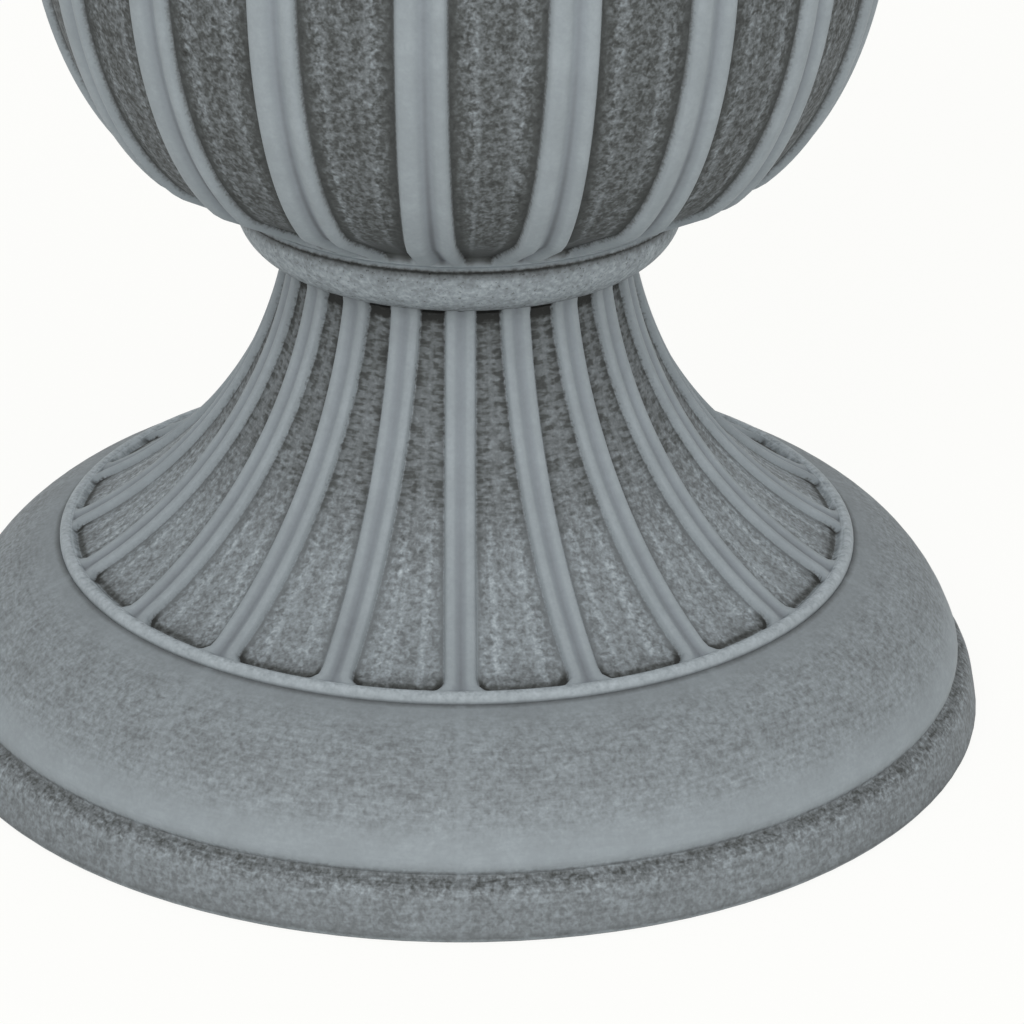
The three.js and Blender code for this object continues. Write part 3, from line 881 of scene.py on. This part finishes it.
bowl = {
    "wellRadius": 41.2,
    "wall": 3.2,
    "underside": 159.3,
    "floorTop": 147.3,
    "drainRadius": 8.9,
    "footRing": 66.5,
    "footRingHeight": 2.9,
    "ledgeHeight": 162.9,
    "ledgeRadius": 55,
    "bellyRadius": 123,
    "bellyHeight": 258,
    "bellyBulge": 59,
    "bellyDrop": 95,
    "bellyTurn": 62,  # degrees
    "beltHeight": 290,
    "beltWidth": 13,
    "beltRise": 6,
    "beltStart": -76,  # degrees
    "beltTurn": 84,
    "flareFoot": 122.5,
    "flareTop": 170,
    "flareHollow": 12.3,
    "lipDepth": 22,
    "lipRound": 8,
    "lipWall": 3.6,
    "lipHollow": 11,
    "lipInner": 176.5,
    "lipInnerRound": 2.5,
    "ribs": {
        "count": 19,
        "phase": math.radians(-5.5),
        "width": 14.4,
        "edge": 1.5,
        "channelDepth": 1.8,
        "channelShift": 0.12,  # of half the width, away from the rib's middle
        "recess": 2.5,
    },
    "paint": {
        "speckleDepth": 0.95,
        "streakDepth": 0.05,
        "stripeDepth": 0.12,
        "ragged": 0.6,
        "besideWidth": 4.4,
        "besideDepth": 0.15,
        "ribEdge": -0.15,
        "ribWidth": 14.4,
        "channelInner": 0.02,
        "channelOuter": 0.2,
        "lineFade": 0.16,
    },
    "ring": {
        "tone": [(0, 0.0), (1.5, 0.02), (2.1, 0.5), (2.7, 0.84), (5, 0.86)],
        "grain": [(0, 0.9), (2.1, 0.9), (2.8, 0.15)],
    },
    "belly": {
        # panel tone up the belly: dark where the panels leave the foot ring and darker towards the
        # bottom, as painted shade under the bowl's bulge
        "tone": [
            (0, 0.84), (1.0, 0.74), (1.7, 0.34), (2.6, 0.18), (6, 0.2),
            (16, 0.23), (40, 0.29), (70, 0.32), (200, 0.34),
        ],
        "grain": [(0, 0.1), (3, 0.1), (20, 0.25), (40, 0.75), (200, 0.95)],
        "streak": [(0, 0), (30, 1)],
        "ribPaint": [(0, 0), (0.8, 1)],
        "crease": [(0, 1.9), (20, 1.7), (50, 1.1), (80, 0.7), (100, 0.5)],
        "sink": [(0, 0), (0.6, 0.02), (2.2, 0.9), (3.4, 1)],
        "open": [(0, 0.76), (1.0, 0.84), (2.0, 0.94), (3.4, 0.99), (5, 1)],
    },
    "belt": {
        "tone": [(0, 0.45), (4, 0.76), (12, 0.8), (20, 0.5)],
        "grain": [(0, 0.4), (5, 0.12), (12, 0.12), (20, 0.5)],
        "brush": 0.7,
    },
    "flare": {
        "tone": [(0, 0.34), (4, 0.5), (20, 0.6), (90, 0.58), (120, 0.44), (128, 0.3)],
        "grain": [(0, 0.9), (20, 0.55), (128, 0.7)],
        "brush": 0.6,
    },
    "skirt": {
        "tone": [(0, 0.2), (20, 0.12), (28, 0.2), (34, 0.5)],
        "grain": 0.5,
        "brush": 0.5,
    },
    "lip": {
        "tone": [(0, 0.5), (6, 0.64), (14, 0.78), (24, 0.8), (30, 0.62), (38, 0.3)],
        "grain": [(0, 0.7), (8, 0.4), (14, 0.12), (24, 0.15), (38, 0.6)],
        "brush": 0.7,
    },
    "inside": {"tone": [(0, 0.3), (10, 0.22), (25, 0.17)], "grain": 0.3, "brush": 0.3},
    "well": {"tone": 0.17, "grain": 0.3},
}


def bowlSection():
    b = bowl
    ringTop = b["underside"] + b["footRingHeight"]
    start = (b["footRing"] - 0.5, ringTop - 1)
    centre = (b["bellyRadius"] - b["bellyBulge"], b["bellyHeight"])
    oval = ovalArc(centre, b["bellyBulge"], b["bellyDrop"], -b["bellyTurn"], 0, 80)
    crest = np.concatenate([[start], oval, [(b["bellyRadius"], b["beltHeight"] + 1)]])
    run = alongOutline(crest)[-1]
    near = [0, 0.4, 0.8, 1.2, 1.6, 2.1, 2.7, 3.5, 4.5, 6, 8]  # close rows where the panels begin
    rows = [near, np.linspace(10.5, run - 12, 40), np.linspace(run - 8, run, 5)]
    belly = resample(crest, np.concatenate(rows))

    beltTop = b["beltHeight"] + b["beltWidth"]
    beltCentre = (b["flareFoot"], (b["beltHeight"] + beltTop) / 2)
    halfBelt = b["beltWidth"] / 2
    belt = ovalArc(beltCentre, b["beltRise"], halfBelt, b["beltStart"], b["beltTurn"], 18)
    lipBottom = urnHeight - b["lipDepth"]
    flareEnd = (b["flareTop"], lipBottom)
    flare = bowedLine((b["flareFoot"], beltTop), flareEnd, -b["flareHollow"], 26)
    skirt = lipRadius - b["lipWall"]
    skirtTop = lipBottom + b["lipHollow"]

    innerDepth = b["ribs"]["recess"] + b["wall"]
    innerBelly = insetOutline(np.concatenate([[start], oval]), innerDepth)[1::5]
    inside = np.concatenate([
        insetOutline(flare, b["wall"])[::2][::-1],
        [(innerBelly[-1][0], b["beltHeight"])],
        innerBelly[::-1],
    ])
    wellInner = b["wellRadius"] - b["wall"]
    return joinStrips([
        strip(softCorners([
            (b["drainRadius"], seatHeight + 1, 0),
            (b["drainRadius"], seatHeight, 0.3),
            (b["wellRadius"], seatHeight, 0.5),
            (b["wellRadius"], b["underside"], 0.4),
            (b["footRing"] - 1.5, b["underside"], 0),
        ])),
        strip(softCorners([
            (b["footRing"] - 1.4, b["underside"], 0),
            (b["footRing"], b["underside"], 0.7),
            (b["footRing"], ringTop - 1.3, 1.0),
            (start[0] - 0.1, start[1] - 0.1, 0),
        ], 4), **b["ring"]),
        strip(belly, **b["belly"]),
        strip(belt, **b["belt"]),
        strip(flare, **b["flare"]),
        strip(softCorners([
            (b["flareTop"] + 1, lipBottom + 2, 0),
            (skirt - b["lipWall"], skirtTop, 1),
            (skirt, skirtTop, 1),
            (skirt, lipBottom, 0.8),
            (lipRadius, lipBottom, 0.8),
            (lipRadius, lipBottom + 3, 0),
        ], 4), **b["skirt"]),
        strip(softCorners([
            (lipRadius, lipBottom + 3, 0),
            (lipRadius, lipBottom + 9, 0),
            (lipRadius, urnHeight, b["lipRound"]),
            (b["lipInner"], urnHeight, b["lipInnerRound"]),
            (b["lipInner"] - 4.5, urnHeight - 8, 0),
        ], 8), **b["lip"]),
        strip(inside, **b["inside"]),
        strip(softCorners([
            (b["ledgeRadius"], b["ledgeHeight"], 0),
            (wellInner, b["ledgeHeight"], 0.8),
            (wellInner, b["floorTop"], 1.0),
            (b["drainRadius"], b["floorTop"], 0.4),
            (b["drainRadius"], b["floorTop"] - 1, 0),
        ], 4), **b["well"]),
    ])


def makeBowl():
    paint = brushedStone("bowlPaint", bowl["paint"])
    shell = shellMesh("bowlShell", bowlSection(), bowl["ribs"])
    place("bowlShell", shell, paint, "urn", "stone_finish_resin", ["bowl"])


makeBowl()
print("bowl made")


# small turned parts: points of radius and height in mm, from the bottom outside to the top
def turnedMesh(name, points, x=0, y=0, columns=48, ring=False, shift=None):
    points = np.array(points, float)
    angle = np.linspace(0, fullTurn, columns, endpoint=False)[None, :]
    radius = points[:, :1] + 0 * angle
    height = points[:, 1:] + 0 * angle
    if shift is not None:
        radius, height = shift(radius, height, angle)
    faces = gridFaces(len(points), columns, closed=ring)
    if not ring:
        last = (len(points) - 1) * columns
        faces += [list(range(columns))[::-1], [last + column for column in range(columns)]]
    mesh = bpy.data.meshes.new(name)
    mesh.from_pydata((ringPoints(radius, angle, height, x, y) * mm).tolist(), [], faces)
    mesh.update()
    return mesh


def wornMaterial(name, look):
    material, tree, shader = newMaterial(name)
    position = placeInMm(tree)
    cloud = noise(tree, position, look["cloudScale"], 3.0, 0.6)
    fine = noise(tree, position, look["grainScale"], 2.0)
    value = plus(tree, 0.5, times(tree, cloud, 1.2), times(tree, fine, 0.5))
    colour = colourRamp(tree, value, [(0.2, look["dark"]), (0.8, look["light"])])
    plugIn(tree, shader.inputs["Base Color"], colour)
    roughness = smoothStep(tree, value, 0.1, 0.9, *look["roughness"])
    plugIn(tree, shader.inputs["Roughness"], roughness)
    shader.inputs["Metallic"].default_value = look["metallic"]
    addBump(tree, shader, fine, look["bump"], look["bumpDistance"])
    return material


screw = {
    "shankRadius": 2.08,
    "coreRadius": 1.55,
    "pitch": 1.6,
    "rowsPerPitch": 6,
    "pointLength": 3,
    "headHeight": 2.8,
    "headRadius": 4.6,
    "headEdge": 1.4,  # height of the head's side
    "headRound": 0.3,
    "domeDrop": 1.1,
    "domePower": 2.4,
    "plainLength": 3,  # of the shank under the head
    "crossReach": 2.3,
    "crossWidth": 0.55,
    "crossDepth": 1.6,
    "zinc": {
        "cloudScale": 0.5,
        "grainScale": 3.0,
        "dark": (138, 141, 144),
        "light": (196, 198, 196),
        "roughness": (0.28, 0.5),
        "metallic": 1.0,
        "bump": 0.1,
        "bumpDistance": 0.0002,
    },
}


def screwOutline(bottom, top):
    s = screw
    seat = top - s["headHeight"]
    rows = np.arange(bottom + 0.05, seat - s["plainLength"], s["pitch"] / s["rowsPerPitch"])
    points = [(1.0, z) for z in rows]  # the thread sets their radius
    points += [
        (s["shankRadius"], seat - s["plainLength"]),
        (s["shankRadius"], seat),
        (s["headRadius"] - s["headRound"], seat),
        (s["headRadius"], seat + s["headRound"]),
        (s["headRadius"], seat + s["headEdge"]),
    ]
    for share in (0.99, 0.9, 0.78, 0.64):
        points.append((s["headRadius"] * share, top - s["domeDrop"] * share ** s["domePower"]))
    return points + [(r, top - 0.05) for r in (2.5, 2.3, 2.1, 1.7, 1.3, 0.9, 0.6, 0.3, 0.05)]


def cutThreadAndCross(bottom, top):
    s = screw
    seat = top - s["headHeight"]

    def shift(radius, height, angle):
        inThread = (height < seat - s["plainLength"]) & (radius < s["shankRadius"] - 0.01)
        wave = np.abs(((height / s["pitch"] - angle / fullTurn) % 1) - 0.5) * 2
        point = np.clip((height - bottom) / s["pointLength"], 0.03, 1)
        flank = np.clip(wave * 1.6 - 0.4, 0, 1)
        ridge = (s["coreRadius"] + (s["shankRadius"] - s["coreRadius"]) * flank) * point
        radius = np.where(inThread, ridge, radius)
        side = np.minimum(np.abs(np.sin(angle)), np.abs(np.cos(angle))) * radius
        inCross = (height > seat + 1) & (radius < s["crossReach"]) & (side < s["crossWidth"])
        depth = s["crossDepth"] * np.maximum(1 - radius / s["crossReach"], 0) ** 0.5
        return radius, np.where(inCross, height - depth, height)

    return shift


def makeScrews():
    material = wornMaterial("platedSteel", screw["zinc"])
    for index in range(1, 5):
        node = f"bowl_screw_{index}"
        x, y, bottom, top = centreOf(node)
        shift = cutThreadAndCross(bottom, top)
        mesh = turnedMesh(f"screwMesh{index}", screwOutline(bottom, top), x, y, shift=shift)
        place(f"bowlScrew{index}", mesh, material, "urn", "plated_steel", [node], 40)


makeScrews()
print("screws made")

washer = {
    "outer": 6.4,
    "inner": 2.4,
    "rubber": {
        "cloudScale": 0.6,
        "grainScale": 4.0,
        "dark": (22, 22, 23),
        "light": (44, 44, 45),
        "roughness": (0.75, 0.92),
        "metallic": 0.0,
        "bump": 0.3,
        "bumpDistance": 0.0002,
    },
}


def makeWashers():
    inner, outer = washer["inner"], washer["outer"]
    material = wornMaterial("sealingRubber", washer["rubber"])
    for index in range(1, 5):
        node = f"screw_washer_{index}"
        x, y, bottom, top = centreOf(node)
        outline = softCorners([
            (inner + 0.5, bottom, 0),
            (outer, bottom, 0.3),
            (outer, top, 0.4),
            (inner, top, 0.2),
            (inner, bottom, 0.2),
            (inner + 0.45, bottom, 0),
        ], 4)
        mesh = turnedMesh(f"washerMesh{index}", outline, x, y, 40, ring=True)
        place(f"screwWasher{index}", mesh, material, "urn", "black_rubber", [node], 40)


makeWashers()
print("washers made")

plug = {
    "stemRadius": 8.6,
    "taper": 0.8,
    "flangeRadius": 13,
    "flangeThickness": 2.4,
    "neck": 3.2,
    "grip": 4.8,
    "stemReach": 9.3,  # of the stem under the flange
    "ridges": (2.4, 4.2, 6.0),  # above the stem's end
    "ridgeDepth": 0.3,
    "ridgeSide": 0.7,
    "rubber": {
        "cloudScale": 0.25,
        "grainScale": 2.0,
        "dark": (34, 36, 38),
        "light": (58, 60, 62),
        "roughness": (0.42, 0.62),
        "metallic": 0.0,
        "bump": 0.15,
        "bumpDistance": 0.0002,
    },
}


def makePlug():
    p = plug
    x, y, bottom, top = centreOf("drain_plug")
    seat = bottom + p["stemReach"]
    small = p["stemRadius"] - p["taper"]
    flangeTop = seat + p["flangeThickness"]

    def stem(height):
        return small + p["taper"] * (height - bottom) / p["stemReach"]

    outline = [(0.05, bottom)] + softCorners([
        (3, bottom, 0),
        (small, bottom, 0.8),
        (stem(bottom + 1.5), bottom + 1.5, 0),
    ], 4).tolist()
    for ridge in p["ridges"]:  # sealing ridges stand up to the taper, grooves between them
        here = bottom + ridge
        below, above = here - p["ridgeSide"], here + p["ridgeSide"]
        outline.append((stem(below) - p["ridgeDepth"], below))
        outline.append((stem(here), here))
        outline.append((stem(here) - p["ridgeDepth"], above))
    outline += softCorners([
        (stem(seat - 1.2), seat - 1.2, 0),
        (stem(seat), seat, 0.2),
        (p["flangeRadius"], seat, 0.4),
        (p["flangeRadius"], seat + p["flangeThickness"] / 2, 0.5),
        (p["flangeRadius"] - p["taper"], flangeTop, 0.5),
        (p["neck"], flangeTop, 0),
        (p["neck"], top - p["grip"], 0.8),
        (p["grip"], top - p["grip"] / 2, 1.2),
        (p["neck"], top, 0.8),
        (0.6, top, 0),
    ], 5).tolist()
    outline.append((0.05, top))
    mesh = turnedMesh("plugMesh", outline, x, y, 64)
    material = wornMaterial("plugRubber", p["rubber"])
    place("drainPlug", mesh, material, "plug", "plug_rubber", ["drain_plug"], 40)


makePlug()
print("plug made")

studio = {
    "floorColour": (255, 255, 253),
    "floorSize": 12,  # metres from the middle to each side
    "floorRoughness": 0.9,
    "whiteShare": 0.92,
    "worldLight": 0.6,
    "lamps": [
        {"place": (-1.0, -2.6, 2.4), "aim": (0, 0, 0.2), "size": 1.6, "watts": 38},
        {"place": (1.2, -2.3, 1.9), "aim": (0, 0, 0.2), "size": 1.5, "watts": 17},
    ],
}


def seenDirectly(tree):  # 1 for rays that show the background itself, in view or mirrored
    path = addNode(tree, "LightPath").outputs
    shown = calculate(tree, "MAXIMUM", path["Is Camera Ray"], path["Is Glossy Ray"])
    return calculate(tree, "MAXIMUM", shown, path["Is Transmission Ray"])


def makeWorld():
    world = bpy.data.worlds.new("studio")
    bpy.context.scene.world = world
    world.use_nodes = True
    tree = world.node_tree
    background = tree.nodes["Background"]
    background.inputs["Color"].default_value = linear(*studio["floorColour"])
    strength = blendValues(tree, seenDirectly(tree), studio["worldLight"], 1.0)
    plugIn(tree, background.inputs["Strength"], strength)


def makeFloor():
    material, tree, shader = newMaterial("studioFloor")
    colour = linear(*studio["floorColour"])
    shader.inputs["Base Color"].default_value = colour
    shader.inputs["Roughness"].default_value = studio["floorRoughness"]
    glow = addNode(tree, "Emission", {"Color": colour, "Strength": 1.0})
    share = times(tree, seenDirectly(tree), studio["whiteShare"])
    mix = addNode(tree, "MixShader", {0: share, 1: shader.outputs[0], 2: glow.outputs[0]})
    plugIn(tree, tree.nodes["Material Output"].inputs["Surface"], mix.outputs[0])
    mesh = bpy.data.meshes.new("studioFloor")
    size = studio["floorSize"]
    corners = [(-size, -size, 0), (size, -size, 0), (size, size, 0), (-size, size, 0)]
    mesh.from_pydata(corners, [], [(0, 1, 2, 3)])
    mesh.materials.append(material)
    floor = bpy.data.objects.new("studioFloor", mesh)
    bpy.context.scene.collection.objects.link(floor)


def makeLamps():
    for index, lamp in enumerate(studio["lamps"]):
        data = bpy.data.lights.new(f"softbox{index + 1}", "AREA")
        data.size = lamp["size"]
        data.energy = lamp["watts"]
        light = bpy.data.objects.new(data.name, data)
        light.location = lamp["place"]
        aim = Vector(lamp["aim"]) - light.location
        light.rotation_euler = aim.to_track_quat("-Z", "Y").to_euler()
        bpy.context.scene.collection.objects.link(light)


makeWorld()
makeFloor()
makeLamps()
bpy.context.scene.view_settings.view_transform = "Standard"
print("studio made")
